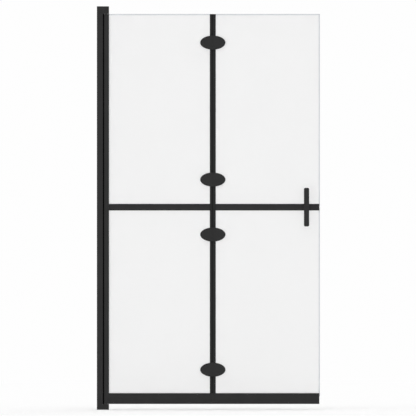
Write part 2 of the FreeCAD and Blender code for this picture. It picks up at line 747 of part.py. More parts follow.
def build_glass(label, left, bottom, width, height, holes, bare_top, bare_side):
    """One pane, drilled for its fittings, with its bare edges arrissed."""
    body = new_body(label, x=left, z=bottom)
    outline = new_sketch(body, "pane_outline", "XZ_Plane")
    draw_rectangle(outline, "0", width, "0", height)
    pad(body, "pane", outline, "Sizes.glass_thickness", side="Symmetric")
    bare_edges = []
    for sign in BOTH_SIGNS:
        if bare_top:
            bare_edges += edges_at(body, y=f"{sign} * Places.half_glass", z=height)
        if bare_side:
            bare_edges += edges_at(body, x=width, y=f"{sign} * Places.half_glass")
    if bare_edges:
        chamfer_edges(body, "arris", bare_edges, "Sizes.glass_arris")
    drilling = new_sketch(body, "drilling", "XZ_Plane")
    for x, z in holes:
        draw_circle(drilling, f"{x} - ({left})", f"{z} - ({bottom})", "Sizes.glass_hole")
    pocket(body, "drilled_holes", drilling, "2 * Sizes.glass_thickness", side="Symmetric")
    nodes.append(body)


def hinge_screw_places(side, levels):
    """Places of the hinge screws of one leaf, as pairs of expressions in X and Z."""
    x = f"Sizes.fold_from_wall + {side} * Sizes.hinge_screw_out"
    return [(x, f"{level} + {sign} * Sizes.hinge_screw_rise") for level in levels for sign in BOTH_SIGNS]


def handle_level(sign):
    """Height of one of the handle's two bolts."""
    return f"Sizes.middle_rail_centre + {sign} * Sizes.handle_spacing / 2"


def build_panes():
    """Upper and lower panes of both leaves."""
    spans = (("upper", HINGE_LEVELS[:2], "1", True), ("lower", HINGE_LEVELS[2:], "-1", False))
    for pane, levels, handle_sign, bare_top in spans:
        bottom = f"Places.{pane}_glass_bottom"
        height = f"Places.{pane}_glass_height"
        build_glass(
            f"inner_{pane}_glass", "Places.inner_glass_left", bottom, "Places.inner_glass_width", height,
            hinge_screw_places(INNER, levels), bare_top, False,
        )
        handle_hole = ("Places.handle_x", handle_level(handle_sign))
        build_glass(
            f"outer_{pane}_glass", "Places.outer_glass_left", bottom, "Places.outer_glass_width", height,
            hinge_screw_places(OUTER, levels) + [handle_hole], bare_top, True,
        )


def rail_corner_edges(body, half_depth, top):
    """Names of the four long outer edges of a rail."""
    return [
        name for sign in BOTH_SIGNS for level in ("0", top)
        for name in edges_at(body, y=f"{sign} * {half_depth}", z=level)
    ]


def build_middle_rail(label, start, length):
    """H profile that joins a leaf's two panes."""
    body = new_body(label, x=start, z="Places.middle_rail_bottom")
    section = new_sketch(body, "middle_rail_section", "YZ_Plane")
    half_depth = "Sizes.middle_rail_depth / 2"
    draw_outline(section, mirror_across([
        ("Places.slot_half", "Sizes.middle_slot_depth"),
        ("Places.slot_half", "0"),
        (half_depth, "0"),
        (half_depth, "Sizes.middle_rail_height"),
        ("Places.slot_half", "Sizes.middle_rail_height"),
        ("Places.slot_half", "Sizes.middle_rail_height - Sizes.middle_slot_depth"),
    ]))
    pad(body, "middle_rail_bar", section, length)
    edges = rail_corner_edges(body, half_depth, "Sizes.middle_rail_height")
    round_edges(body, "middle_rail_corners", edges, "Sizes.rail_round")
    nodes.append(body)


def bottom_rail_outline(sketch):
    """Outer outline of the bottom rail with its glass slot."""
    draw_outline(sketch, mirror_across([
        ("Sizes.bottom_rail_depth / 2", "0"),
        ("Sizes.bottom_rail_depth / 2", "Sizes.bottom_rail_height"),
        ("Places.slot_half", "Sizes.bottom_rail_height"),
        ("Places.slot_half", "Sizes.bottom_rail_height - Sizes.bottom_slot_depth"),
    ]))


def build_bottom_rail(label, start, length):
    """Hollow rail that carries the lower pane in a slot."""
    body = new_body(label, x=start, z="Sizes.panel_floor_gap")
    section = new_sketch(body, "bottom_rail_section", "YZ_Plane")
    bottom_rail_outline(section)
    draw_rectangle(
        section, "-Places.rail_chamber_half", "Places.rail_chamber_half",
        "Sizes.rail_wall", "Places.rail_chamber_top",
    )
    pad(body, "bottom_rail_bar", section, length)
    edges = rail_corner_edges(body, "Sizes.bottom_rail_depth / 2", "Sizes.bottom_rail_height")
    round_edges(body, "bottom_rail_corners", edges, "Sizes.rail_round")
    nodes.append(body)


def build_rail_plug(label, slotted):
    """End plate of a bottom rail with a tenon in the rail's chamber. The plate points along +X."""
    body = new_body(label)
    plate = new_sketch(body, "plug_plate_outline", "YZ_Plane")
    half_depth = "Sizes.bottom_rail_depth / 2"
    if slotted:
        bottom_rail_outline(plate)
    else:
        draw_rectangle(plate, f"-{half_depth}", half_depth, "0", "Sizes.bottom_rail_height")
    pad(body, "plug_plate", plate, "Sizes.end_plate")
    edges = rail_corner_edges(body, half_depth, "Sizes.bottom_rail_height")
    round_edges(body, "plug_corners", edges, "Sizes.rail_round")
    tenon = new_sketch(body, "plug_tenon_outline", "YZ_Plane")
    draw_rectangle(
        tenon, "Sizes.run_gap - Places.rail_chamber_half", "Places.rail_chamber_half - Sizes.run_gap",
        "Sizes.rail_wall + Sizes.run_gap", "Places.rail_chamber_top - Sizes.run_gap",
    )
    pad(body, "plug_tenon", tenon, "Sizes.end_tenon", reverse=True)
    return body


def build_tongue_plug():
    """Closed plug with an upright tongue that laps over the gap at the fold."""
    body = build_rail_plug("tongue_plug", slotted=False)
    outline = new_sketch(body, "tongue_outline", "YZ_Plane", "Sizes.end_plate")
    draw_rectangle(outline, "-Places.tongue_half", "Places.tongue_half", "0", "Sizes.bottom_rail_height")
    pad(body, "tongue", outline, "Places.tongue_length")
    return body


def build_groove_plug():
    """Closed plug with a groove for the tongue."""
    body = build_rail_plug("groove_plug", slotted=False)
    outline = new_sketch(body, "groove_outline", "YZ_Plane", "Sizes.end_plate")
    draw_rectangle(
        outline, "-Places.tongue_groove_half", "Places.tongue_groove_half", "0", "Sizes.bottom_rail_height",
    )
    pocket(body, "groove", outline, "Places.tongue_groove_depth")
    return body


def build_rails():
    """Middle and bottom rails of both leaves, with their gaskets and end plugs."""
    build_middle_rail("inner_middle_rail", "Places.swing_right", "Places.inner_middle_length")
    build_middle_rail("outer_middle_rail", "Places.outer_middle_left", "Places.outer_middle_length")
    outer_bar_start = "Places.outer_bottom_start + Sizes.end_plate"
    build_bottom_rail("inner_bottom_rail", "Places.swing_right", "Places.inner_bottom_length")
    build_bottom_rail("outer_bottom_rail", outer_bar_start, "Places.outer_bottom_length")
    build_rail_gaskets(
        "inner", "Places.swing_right", "Places.inner_middle_length",
        "Places.swing_right", "Places.inner_bottom_gasket",
    )
    build_rail_gaskets(
        "outer", "Places.outer_middle_left", "Places.outer_middle_length",
        "Places.outer_glass_left", "Places.outer_bottom_gasket",
    )
    level = "Sizes.panel_floor_gap"
    inner_end = "Places.inner_bottom_end - Sizes.end_plate"
    outer_end = "Places.rail_free_end - Sizes.end_plate"
    group("inner_rail_end_cap", [copy_at(build_tongue_plug(), inner_end, "0", level)])
    group("outer_rail_end_caps", [
        copy_at(build_groove_plug(), outer_bar_start, "0", level, END_FOR_END),
        copy_at(build_rail_plug("free_end_plug", slotted=True), outer_end, "0", level),
    ])


# Fold seals

def build_inner_fold_seal():
    """U strip on the first leaf's fold edge, with a lip that enters the second leaf's strip."""
    body = new_body("inner_fold_seal", x="Sizes.fold_from_wall", z="Places.bottom_rail_top")
    section = new_sketch(body, "inner_seal_section", "XY_Plane")
    draw_outline(section, mirror_up([
        ("-Sizes.fold_glass_gap", "Places.gasket_inner"),
        ("-Sizes.inner_seal_reach", "Places.gasket_inner"),
        ("-Sizes.inner_seal_reach", "Places.seal_half"),
        ("-Sizes.inner_seal_face", "Places.seal_half"),
        ("-Sizes.inner_seal_face", "Places.seal_lip_half"),
        ("Places.seal_lip_tip", "Places.seal_lip_half"),
    ]))
    pad(body, "inner_seal_strip", section, "Places.seal_length")
    edges = edge_pair(body, "-Sizes.inner_seal_face", "Places.seal_half")
    round_edges(body, "inner_seal_nose", edges, "Sizes.seal_round")
    nodes.append(body)


def build_outer_fold_seal():
    """U strip on the second leaf's fold edge, with a hollow nose slotted for the first leaf's lip."""
    body = new_body("outer_fold_seal", x="Sizes.fold_from_wall", z="Places.bottom_rail_top")
    section = new_sketch(body, "outer_seal_section", "XY_Plane")
    slot_half = "Places.seal_lip_half + Sizes.seal_lip_gap"
    hollow_half = "Places.seal_half - Sizes.outer_seal_wall"
    hollow_front = "Sizes.outer_seal_wall - Sizes.outer_seal_face"
    hollow_back = "Sizes.fold_glass_gap - Sizes.outer_seal_wall"
    draw_outline(section, mirror_up([
        ("Sizes.fold_glass_gap", "Places.gasket_inner"),
        ("Sizes.outer_seal_reach", "Places.gasket_inner"),
        ("Sizes.outer_seal_reach", "Places.seal_half"),
        ("-Sizes.outer_seal_face", "Places.seal_half"),
        ("-Sizes.outer_seal_face", slot_half),
        (hollow_front, slot_half),
        (hollow_front, hollow_half),
        (hollow_back, hollow_half),
    ]))
    pad(body, "outer_seal_strip", section, "Places.seal_length")
    edges = edge_pair(body, "-Sizes.outer_seal_face", "Places.seal_half")
    round_edges(body, "outer_seal_nose", edges, "Sizes.seal_round")
    nodes.append(body)


# Oval hinges

def keep_half(body, side, edge):
    """Cut an oval back to one side of the fold, leaving a straight edge."""
    sketch = new_sketch(body, "other_half", "XZ_Plane")
    draw_rectangle(
        sketch, f"{side} * ({edge})", f"-1 * {side} * Sizes.hinge_length",
        "-Sizes.hinge_height", "Sizes.hinge_height",
    )
    pocket(body, "straight_edge", sketch, "Sizes.hinge_height", side="Symmetric")


def rim_edges(body, side, face):
    """Names of the curved edges of a half oval on one of its faces."""
    straight = edges_at(body, x=f"{side} * Sizes.hinge_seam / 2", y=face)
    return [name for name in edges_at(body, y=face) if name not in straight]


def build_hinge_plate(label, side, level):
    """Half-oval front plate, with blind threaded holes behind."""
    body = new_body(label, x="Sizes.fold_from_wall", y="-Places.plate_face", z=level)
    outline = new_sketch(body, "plate_oval", "XZ_Plane")
    draw_oval(outline, side, "Sizes.hinge_length", "Sizes.hinge_height")
    pad(body, "plate", outline, "Sizes.plate_thickness")
    keep_half(body, side, "Sizes.hinge_seam / 2")
    round_edges(body, "plate_rim", rim_edges(body, side, "-Sizes.plate_thickness"), "Sizes.plate_round")
    threads = new_sketch(body, "plate_thread_places", "XZ_Plane")
    for sign in BOTH_SIGNS:
        draw_circle(
            threads, f"{side} * Sizes.hinge_screw_out", f"{sign} * Sizes.hinge_screw_rise",
            "Sizes.hinge_screw + 2 * Sizes.fit_gap",
        )
    pocket(body, "plate_threads", threads, "Sizes.hinge_screw_grip + Sizes.end_gap", reverse=True)
    nodes.append(body)


def add_knuckle(body, side, name, start, length, symmetric):
    """Barrel round the hinge axis, with a web down to the leaf."""
    placing = "Symmetric" if symmetric else "One side"
    barrel = new_sketch(body, f"{name}_circle", "XY_Plane", start)
    draw_circle(barrel, "0", "Places.leaf_axis", "Sizes.knuckle")
    first = pad(body, f"{name}_barrel", barrel, length, side=placing)
    web = new_sketch(body, f"{name}_web_outline", "XY_Plane", start)
    draw_rectangle(
        web, f"{side} * Sizes.knuckle / 2", f"{side} * Sizes.hinge_seam / 2",
        "Sizes.leaf_thickness / 2", "Places.leaf_axis",
    )
    second = pad(body, f"{name}_web", web, length, side=placing)
    return [first, second]


def mirror_about_level(body, name, originals):
    """The same features mirrored to below the body's level plane."""
    level_plane = next(item for item in body.Origin.OriginFeatures if item.Role == "XY_Plane")
    feature = body.newObject("PartDesign::Mirrored", name)
    feature.Originals = originals
    feature.MirrorPlane = (level_plane, [""])
    body.Tip = feature
    doc.recompute()


def add_countersunk_holes(body, side):
    """Screw holes through a leaf, countersunk on its outer face."""
    sketch = new_sketch(body, "leaf_hole_places", "XZ_Plane", "-Sizes.leaf_thickness")
    for sign in BOTH_SIGNS:
        draw_circle(
            sketch, f"{side} * Sizes.hinge_screw_out", f"{sign} * Sizes.hinge_screw_rise",
            "Places.hinge_screw_hole",
        )
    doc.recompute()
    before = body.Shape.Volume
    hole = body.newObject("PartDesign::Hole", "leaf_holes")
    hole.Profile = sketch
    doc.recompute()
    hole.DepthType = "ThroughAll"
    hole.HoleCutType = "Countersink"
    hole.HoleCutCountersinkAngle = QUARTER_TURN
    hole.setExpression("Diameter", "Places.hinge_screw_hole")
    hole.setExpression("HoleCutDiameter", "Sizes.hinge_screw_head + 2 * Sizes.run_gap")
    hole.Reversed = True
    doc.recompute()
    if body.Shape.Volume >= before:
        raise ValueError(f"{body.Label}: the screw holes cut nothing")


def build_hinge_leaf(label, side, level):
    """Half-oval back leaf. The first leaf carries two side knuckles, the second one centre knuckle."""
    body = new_body(label, x="Sizes.fold_from_wall", y="Places.plate_face", z=level)
    outline = new_sketch(body, "leaf_oval", "XZ_Plane")
    draw_oval(outline, side, "Sizes.hinge_length", "Sizes.hinge_height")
    pad(body, "leaf", outline, "Sizes.leaf_thickness", reverse=True)
    keep_half(body, side, "Sizes.hinge_seam / 2")
    round_edges(body, "leaf_rim", rim_edges(body, side, "Sizes.leaf_thickness"), "Sizes.leaf_round")
    relief = new_sketch(body, "relief_circle", "XY_Plane")
    draw_circle(relief, "0", "Places.leaf_axis", "Sizes.knuckle + 2 * Sizes.knuckle_relief")
    relief_length = "Places.knuckle_stack + 2 * Sizes.knuckle_relief"
    pocket(body, "knuckle_relief", relief, relief_length, side="Symmetric")
    if side == INNER:
        start = "Places.side_knuckle_start"
        knuckle = add_knuckle(body, side, "side_knuckle", start, "Places.side_knuckle", False)
        mirror_about_level(body, "second_knuckle", knuckle)
    else:
        add_knuckle(body, side, "centre_knuckle", "0", "Sizes.centre_knuckle", True)
    bore = new_sketch(body, "pin_place", "XY_Plane")
    draw_circle(bore, "0", "Places.leaf_axis", "Places.hinge_pin_hole")
    pocket(body, "pin_bore", bore, relief_length, side="Symmetric")
    add_countersunk_holes(body, side)
    nodes.append(body)


def build_hinge_pin(label, level):
    """Pin through the knuckles, with a low head at each end."""
    body = new_body(label, x="Sizes.fold_from_wall", y="Places.fold_axis_y", z=level)
    rod = "Sizes.hinge_pin / 2"
    head = "Sizes.hinge_pin_head / 2"
    seat = "Places.knuckle_stack / 2 + Sizes.run_gap"
    crown = f"{seat} + Sizes.hinge_pin_head_height"
    revolve(body, "pin", [
        ("0", f"-({crown})"),
        (f"{head} - Sizes.pin_chamfer", f"-({crown})"),
        (head, f"Sizes.pin_chamfer - ({crown})"),
        (head, f"-({seat})"),
        (rod, f"-({seat})"),
        (rod, seat),
        (head, seat),
        (head, f"{crown} - Sizes.pin_chamfer"),
        (f"{head} - Sizes.pin_chamfer", crown),
        ("0", crown),
    ])
    nodes.append(body)


def build_hinges():
    """Four hinges, each of two front plates, two back leaves and a pin."""
    for index, level in enumerate(HINGE_LEVELS, start=1):
        for leaf, side in (("inner", INNER), ("outer", OUTER)):
            build_hinge_plate(f"hinge_{index}_{leaf}_plate", side, level)
            build_hinge_leaf(f"hinge_{index}_{leaf}_leaf", side, level)
        build_hinge_pin(f"hinge_{index}_pin", level)


def build_hinge_washers():
    """Plastic washers between the knuckles."""
    body = new_body("knuckle_washer")
    section = new_sketch(body, "washer_section", "XY_Plane")
    draw_circle(section, "0", "0", "Sizes.knuckle")
    draw_circle(section, "0", "0", "Places.hinge_pin_hole")
    pad(body, "washer", section, "Sizes.washer_thickness", side="Symmetric")
    offset = "(Sizes.centre_knuckle + Places.knuckle_gap) / 2"
    group("hinge_washers", [
        copy_at(body, "Sizes.fold_from_wall", "Places.fold_axis_y", f"{level} + {sign} * {offset}")
        for level in HINGE_LEVELS for sign in BOTH_SIGNS
    ])


def build_hinge_pads(leaf, side, edge):
    """Pads between the hinge and the glass, with collars in the glass holes."""
    body = new_body(f"{leaf}_hinge_pad")
    outline = new_sketch(body, "pad_oval", "XZ_Plane")
    inset = "2 * Sizes.pad_inset"
    draw_oval(outline, side, f"Sizes.hinge_length - {inset}", f"Sizes.hinge_height - {inset}")
    pad(body, "pad_plate", outline, "Sizes.pad_thickness")
    keep_half(body, side, edge)
    collars = new_sketch(body, "collar_circles", "XZ_Plane")
    bores = new_sketch(body, "collar_bore_circles", "XZ_Plane")
    for sign in BOTH_SIGNS:
        x = f"{side} * Sizes.hinge_screw_out"
        z = f"{sign} * Sizes.hinge_screw_rise"
        draw_circle(collars, x, z, "Places.collar")
        draw_circle(bores, x, z, "Places.hinge_screw_hole")
    pad(body, "pad_collars", collars, "Places.collar_height", reverse=True)
    pocket(body, "pad_bores", bores, "Sizes.hinge_height", side="Symmetric")
    copies = []
    for level in HINGE_LEVELS:
        copies.append(copy_at(body, "Sizes.fold_from_wall", "-Places.half_glass", level))
        copies.append(copy_at(body, "Sizes.fold_from_wall", "Places.half_glass", level, UPSIDE_DOWN))
    group(f"{leaf}_hinge_pads", copies)


def build_hinge_screws():
    """Countersunk screws from the back leaves, through the glass, into the front plates."""
    body = new_body("hinge_screw")
    shank = "Sizes.hinge_screw / 2"
    head = "Sizes.hinge_screw_head / 2"
    revolve(body, "screw", [
        ("0", "0"),
        (head, "0"),
        (shank, f"{shank} - {head}"),
        (shank, "Sizes.screw_tip - Places.hinge_screw_length"),
        (f"{shank} - Sizes.screw_tip", "-Places.hinge_screw_length"),
        ("0", "-Places.hinge_screw_length"),
    ])
    add_socket(body, "Sizes.hinge_screw_socket", "0")
    outer_face = "Places.plate_face + Sizes.leaf_thickness"
    for leaf, side in (("inner", INNER), ("outer", OUTER)):
        group(f"{leaf}_hinge_screws", [
            copy_at(body, x, outer_face, z, AXIS_TO_BACK) for x, z in hinge_screw_places(side, HINGE_LEVELS)
        ])


# Pull handle

def build_handle_bar():
    """Flat bar with soft corners, threaded behind for the two bolts."""
    body = new_body("handle_bar", x="Places.handle_x", y="-Places.handle_back", z="Sizes.middle_rail_centre")
    outline = new_sketch(body, "bar_outline", "XZ_Plane")
    half_width = "Sizes.handle_width / 2"
    half_length = "Sizes.handle_length / 2"
    draw_rectangle(outline, f"-{half_width}", half_width, f"-{half_length}", half_length)
    pad(body, "bar", outline, "Sizes.handle_depth")
    corners = [
        name for x_sign in BOTH_SIGNS for z_sign in BOTH_SIGNS
        for name in edges_at(body, x=f"{x_sign} * {half_width}", z=f"{z_sign} * {half_length}")
    ]
    round_edges(body, "bar_corners", corners, "Sizes.handle_corner")
    faces = edges_at(body, y="-Sizes.handle_depth") + edges_at(body, y="0")
    round_edges(body, "bar_edges", faces, "Sizes.handle_edge_round")
    threads = new_sketch(body, "bar_thread_places", "XZ_Plane")
    for sign in BOTH_SIGNS:
        draw_circle(
            threads, "0", f"{sign} * Sizes.handle_spacing / 2", "Sizes.handle_bolt + 2 * Sizes.fit_gap",
        )
    pocket(body, "bar_threads", threads, "Sizes.handle_bolt_grip + Sizes.end_gap", reverse=True)
    nodes.append(body)


def build_standoffs():
    """Tubes that hold the handle off the glass."""
    body = new_body("standoff_tube")
    bore = "Places.handle_bolt_hole / 2"
    wall = "Sizes.standoff / 2"
    revolve(body, "tube", [
        (bore, "0"),
        (f"{wall} - Sizes.standoff_chamfer", "0"),
        (wall, "Sizes.standoff_chamfer"),
        (wall, "Sizes.standoff_length - Sizes.standoff_chamfer"),
        (f"{wall} - Sizes.standoff_chamfer", "Sizes.standoff_length"),
        (bore, "Sizes.standoff_length"),
    ])
    group("handle_standoffs", [
        copy_at(body, "Places.handle_x", "-Places.handle_back", handle_level(sign), AXIS_TO_BACK)
        for sign in BOTH_SIGNS
    ])


def build_handle_washers():
    """Flanged washers on both faces of the glass, with collars in the glass holes."""
    body = new_body("flanged_washer")
    bore = "Places.handle_bolt_hole / 2"
    revolve(body, "washer", [
        (bore, "-Places.collar_height"),
        ("Places.collar / 2", "-Places.collar_height"),
        ("Places.collar / 2", "0"),
        ("Sizes.handle_washer / 2", "0"),
        ("Sizes.handle_washer / 2", "Sizes.handle_washer_thickness"),
        (bore, "Sizes.handle_washer_thickness"),
    ])
    axis_to_front = UPSIDE_DOWN.multiply(AXIS_TO_BACK)
    copies = []
    for sign in BOTH_SIGNS:
        level = handle_level(sign)
        copies.append(copy_at(body, "Places.handle_x", "Places.half_glass", level, AXIS_TO_BACK))
        copies.append(copy_at(body, "Places.handle_x", "-Places.half_glass", level, axis_to_front))
    group("handle_washers", copies)


def build_handle_bolts():
    """Bolts with low round heads on the inside face of the glass."""
    body = new_body("handle_bolt")
    shank = "Sizes.handle_bolt / 2"
    head = "Sizes.handle_bolt_head / 2"
    crown = "Sizes.handle_bolt_head_height"
    revolve(body, "bolt", [
        ("0", crown),
        (head, crown),
        (head, "0"),
        (shank, "0"),
        (shank, "Sizes.screw_tip - Places.handle_bolt_length"),
        (f"{shank} - Sizes.screw_tip", "-Places.handle_bolt_length"),
        ("0", "-Places.handle_bolt_length"),
    ])
    round_edges(body, "bolt_crown", edges_at(body, z=crown), f"{crown} / 2")
    add_socket(body, "Sizes.handle_bolt_socket", crown)
    group("handle_bolts", [
        copy_at(body, "Places.handle_x", "Places.standoff_face", handle_level(sign), AXIS_TO_BACK)
        for sign in BOTH_SIGNS
    ])


def build_all():
    """Every piece of the screen."""
    build_wall_channel()
    build_post_profile()
    build_end_caps()
    build_pivot_pins()
    build_post_screws()
    build_swing_profile()
    build_pivot_seal()
    build_pivot_bushes()
    build_swing_gaskets()
    build_panes()
    build_rails()
    build_inner_fold_seal()
    build_outer_fold_seal()
    build_hinges()
    build_hinge_washers()
    build_hinge_pads("inner", INNER, "Places.inner_pad_edge")
    build_hinge_pads("outer", OUTER, "Places.outer_pad_edge")
    build_hinge_screws()
    build_handle_bar()
    build_standoffs()
    build_handle_washers()
    build_handle_bolts()
    doc.recompute()


def check_and_write():
    """Stop on a failed object or a bad shape, then write one file for each piece."""
    for item in doc.Objects:
        if "Invalid" in item.State or "Error" in item.State:
            raise RuntimeError(f"{item.Label} failed: {item.State}")
    for node in nodes:
        if node.Shape.isNull() or not node.Shape.isValid():
            raise RuntimeError(f"{node.Label} has no valid shape")
    os.makedirs("parts", exist_ok=True)
    for node in nodes:
        node.Shape.exportStep(f"parts/{node.Label}.step")
        print(f"{node.Label}: {len(node.Shape.Solids)} solids, {node.Shape.Volume:.1f} mm3")


build_all()
check_and_write()
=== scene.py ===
import json
import math
import bpy
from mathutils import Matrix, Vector


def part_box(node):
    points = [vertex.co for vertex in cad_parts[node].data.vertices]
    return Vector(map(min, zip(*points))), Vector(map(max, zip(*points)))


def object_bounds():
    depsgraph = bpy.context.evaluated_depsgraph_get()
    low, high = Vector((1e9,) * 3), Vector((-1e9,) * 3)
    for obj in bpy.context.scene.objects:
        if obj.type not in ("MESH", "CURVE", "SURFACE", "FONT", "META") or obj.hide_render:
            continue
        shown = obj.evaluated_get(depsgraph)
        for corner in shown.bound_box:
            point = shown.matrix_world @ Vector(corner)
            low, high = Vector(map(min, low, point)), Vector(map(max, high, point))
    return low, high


# Looks of a folding walk-in shower screen: black coated profiles and fittings, frosted glass.
# Metres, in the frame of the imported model: +X from the wall to the free edge, +Y into the shower, +Z up.

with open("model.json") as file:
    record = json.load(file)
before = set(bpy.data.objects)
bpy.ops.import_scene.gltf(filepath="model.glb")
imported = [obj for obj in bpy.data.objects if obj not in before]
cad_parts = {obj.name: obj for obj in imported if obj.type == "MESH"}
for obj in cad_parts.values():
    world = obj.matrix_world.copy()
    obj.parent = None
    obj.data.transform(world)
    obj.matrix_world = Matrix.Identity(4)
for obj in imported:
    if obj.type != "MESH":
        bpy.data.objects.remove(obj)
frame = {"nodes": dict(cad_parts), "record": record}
cad_low, cad_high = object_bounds()

MILLIMETRE = 0.001

# Picture: a square frame, and where the post's left side, top and foot lie in it, in pixels
PICTURE_SIDE = 416
POST_LEFT_PIXEL = 96.9
POST_TOP_PIXEL = 6.3
POST_FOOT_PIXEL = 409.7
CAMERA_DISTANCE = 80.0
CAMERA_REACH = 2 * CAMERA_DISTANCE

# A camera looks straight down until it is tilted up by this much
LEVEL_TILT = math.radians(90)

# Light
SKY_LEVEL = 0.78
BACKGROUND_LEVEL = 0.99
KEY_LEVEL = 0.22
KEY_TURN = math.radians(-20)
KEY_HEIGHT = math.radians(66)
RIM_LEVEL = 0.09
RIM_TURN = math.radians(150)
RIM_HEIGHT = math.radians(45)
LAMP_SOFTNESS = math.radians(50)
LAMP_DISTANCE = 5.0

# Floor, just under the foot so that the two faces don't flicker
FLOOR_REACH = 12.0
FLOOR_DROP = 0.2 * MILLIMETRE
FLOOR_DARK = 0.943
FLOOR_LIGHT = 0.948

# Noise textures lie mostly between these values
NOISE_LOW = 0.3
NOISE_HIGH = 0.7

# Index of refraction of coats, plastics, rubber and glass
IOR = 1.5

# Rays that soften the normals at an edge
EDGE_SAMPLES = 4

# Alpha of every colour
OPAQUE = 1.0

# Rubber gathers dust beyond this share of the fold seals' half depth; deeper in it is darker, which is
# painted shade in the grooves
DUST_AND_SHADE_FROM = 0.8

# Glass: how far below its faces a point still counts as on them, and the margin along its edges that is
# painted grey-blue as painted edge shade
GLASS_SKIN = 0.05 * MILLIMETRE
GLASS_PAINTED_SHADE_START = 1 * MILLIMETRE
GLASS_PAINTED_SHADE_END = 8 * MILLIMETRE


def grey(level, blue=1.0):
    """Grey with a little more or less blue."""
    return (level, level, level * blue)


class Finish:
    """Node material round one Principled shader, with patterns in the piece's own coordinates."""

    def __init__(self, name, **plain):
        self.material = bpy.data.materials.new(name)
        self.material.use_nodes = True
        self.tree = self.material.node_tree
        self.shader = self.tree.nodes["Principled BSDF"]
        self.place = self.node("ShaderNodeTexCoord").outputs["Object"]
        self.feed(self.shader, **plain)

    def node(self, kind, **settings):
        """New node with some of its settings."""
        made = self.tree.nodes.new(kind)
        for setting, value in settings.items():
            setattr(made, setting, value)
        return made

    def put(self, value, socket):
        """Link an output to a socket, or set the socket to a plain value."""
        if isinstance(value, bpy.types.NodeSocket):
            self.tree.links.new(value, socket)
        else:
            socket.default_value = value

    def feed(self, node, **inputs):
        """Link or set the named inputs of a node."""
        for name, value in inputs.items():
            self.put(value, node.inputs[name.replace("_", " ")])
        return node

    def along(self, axis):
        """The place on one axis, X, Y or Z."""
        return self.feed(self.node("ShaderNodeSeparateXYZ"), Vector=self.place).outputs[axis]

    def noise(self, count, detail=2.0, stretch=(1.0, 1.0, 1.0)):
        """Noise with about count features a metre, closer together along an axis with a larger stretch."""
        place = self.feed(self.node("ShaderNodeMapping"), Vector=self.place, Scale=stretch)
        grain = self.node("ShaderNodeTexNoise")
        return self.feed(grain, Vector=place.outputs["Vector"], Scale=count, Detail=detail).outputs["Fac"]

    def math(self, operation, *values):
        """Result of an operation on one or two values or outputs."""
        node = self.node("ShaderNodeMath", operation=operation)
        for value, socket in zip(values, node.inputs):
            self.put(value, socket)
        return node.outputs["Value"]

    def blend(self, first, second, share):
        """Two values added, the second with the given share of the whole."""
        first_part = self.math("MULTIPLY", first, 1 - share)
        second_part = self.math("MULTIPLY", second, share)
        return self.math("ADD", first_part, second_part)

    def spread(self, value, low, high, start=NOISE_LOW, end=NOISE_HIGH):
        """A value between start and end, spread evenly from low to high."""
        node = self.node("ShaderNodeMapRange")
        self.feed(node, Value=value, From_Min=start, From_Max=end, To_Min=low, To_Max=high)
        return node.outputs["Result"]

    def tones(self, value, *colours, start=0.0, end=1.0):
        """Colours in a row from start to end of a value."""
        ramp = self.node("ShaderNodeValToRGB")
        stops = ramp.color_ramp.elements
        while len(stops) < len(colours):
            stops.new(end)
        for index, colour in enumerate(colours):
            stops[index].position = start + (end - start) * index / (len(colours) - 1)
            stops[index].color = (*colour, OPAQUE)
        return self.feed(ramp, Fac=value).outputs["Color"]

    def rounded(self, radius):
        """Normals that run softly round the edges of a piece."""
        bevel = self.node("ShaderNodeBevel", samples=EDGE_SAMPLES)
        return self.feed(bevel, Radius=radius).outputs["Normal"]

    def edges(self, soft_normal, sharpest=0.8):
        """0 on open faces, up to 1 along edges, from how far the soft normal leans from the true one."""
        lean = self.node("ShaderNodeVectorMath", operation="DOT_PRODUCT")
        self.put(soft_normal, lean.inputs[0])
        self.put(self.node("ShaderNodeNewGeometry").outputs["Normal"], lean.inputs[1])
        return self.spread(lean.outputs["Value"], low=1.0, high=0.0, start=sharpest, end=1.0)

    def bump(self, height, strength, depth, **normal):
        """Normals of a fine relief, on top of other normals where given."""
        node = self.node("ShaderNodeBump")
        return self.feed(node, Height=height, Strength=strength, Distance=depth, **normal).outputs["Normal"]

    def wear(self, **patterns):
        """Link patterns to the shader's sockets."""
        self.feed(self.shader, **patterns)
        return self.material


# Finishes

def black_coat(name, dark, light, peel_count):
    """Satin black coat: orange peel, faint clouds, and a thinner, lighter cover along the edges that is
    partly a painted highlight.
    """
    finish = Finish(name, Specular_IOR_Level=0.32, IOR=IOR)
    # Lighter grey for the edges: a thinner coat, and partly a painted highlight
    edge_tone_with_painted_light = grey(0.03)
    soft = finish.rounded(radius=0.5 * MILLIMETRE)
    cloud = finish.noise(count=14.0, detail=4.0)
    peel = finish.noise(peel_count, detail=3.0)
    grain = finish.spread(finish.blend(cloud, peel, share=0.75), low=0.0, high=0.5)
    patches = finish.spread(finish.noise(count=60.0), low=0.3, high=1.0)
    # Painted highlight, partly a thinner coat: the edges are lightened in patches
    thin_coat_and_painted_highlight = finish.math("MULTIPLY", finish.edges(soft), patches)
    return finish.wear(
        Base_Color=finish.tones(finish.math("MAXIMUM", grain, thin_coat_and_painted_highlight), dark, light, edge_tone_with_painted_light),
        Roughness=finish.spread(peel, low=0.4, high=0.5),
        Normal=finish.bump(peel, strength=0.5, depth=0.06 * MILLIMETRE, Normal=soft),
    )


def profile_coat():
    """Powder coat of the extruded profiles."""
    return black_coat("profile_coat", grey(0.0035), grey(0.0172, blue=1.03), peel_count=700.0)


def hinge_coat():
    """Finer coat of the cast hinges and the handle."""
    return black_coat("hinge_coat", grey(0.004), grey(0.0168, blue=1.03), peel_count=1100.0)


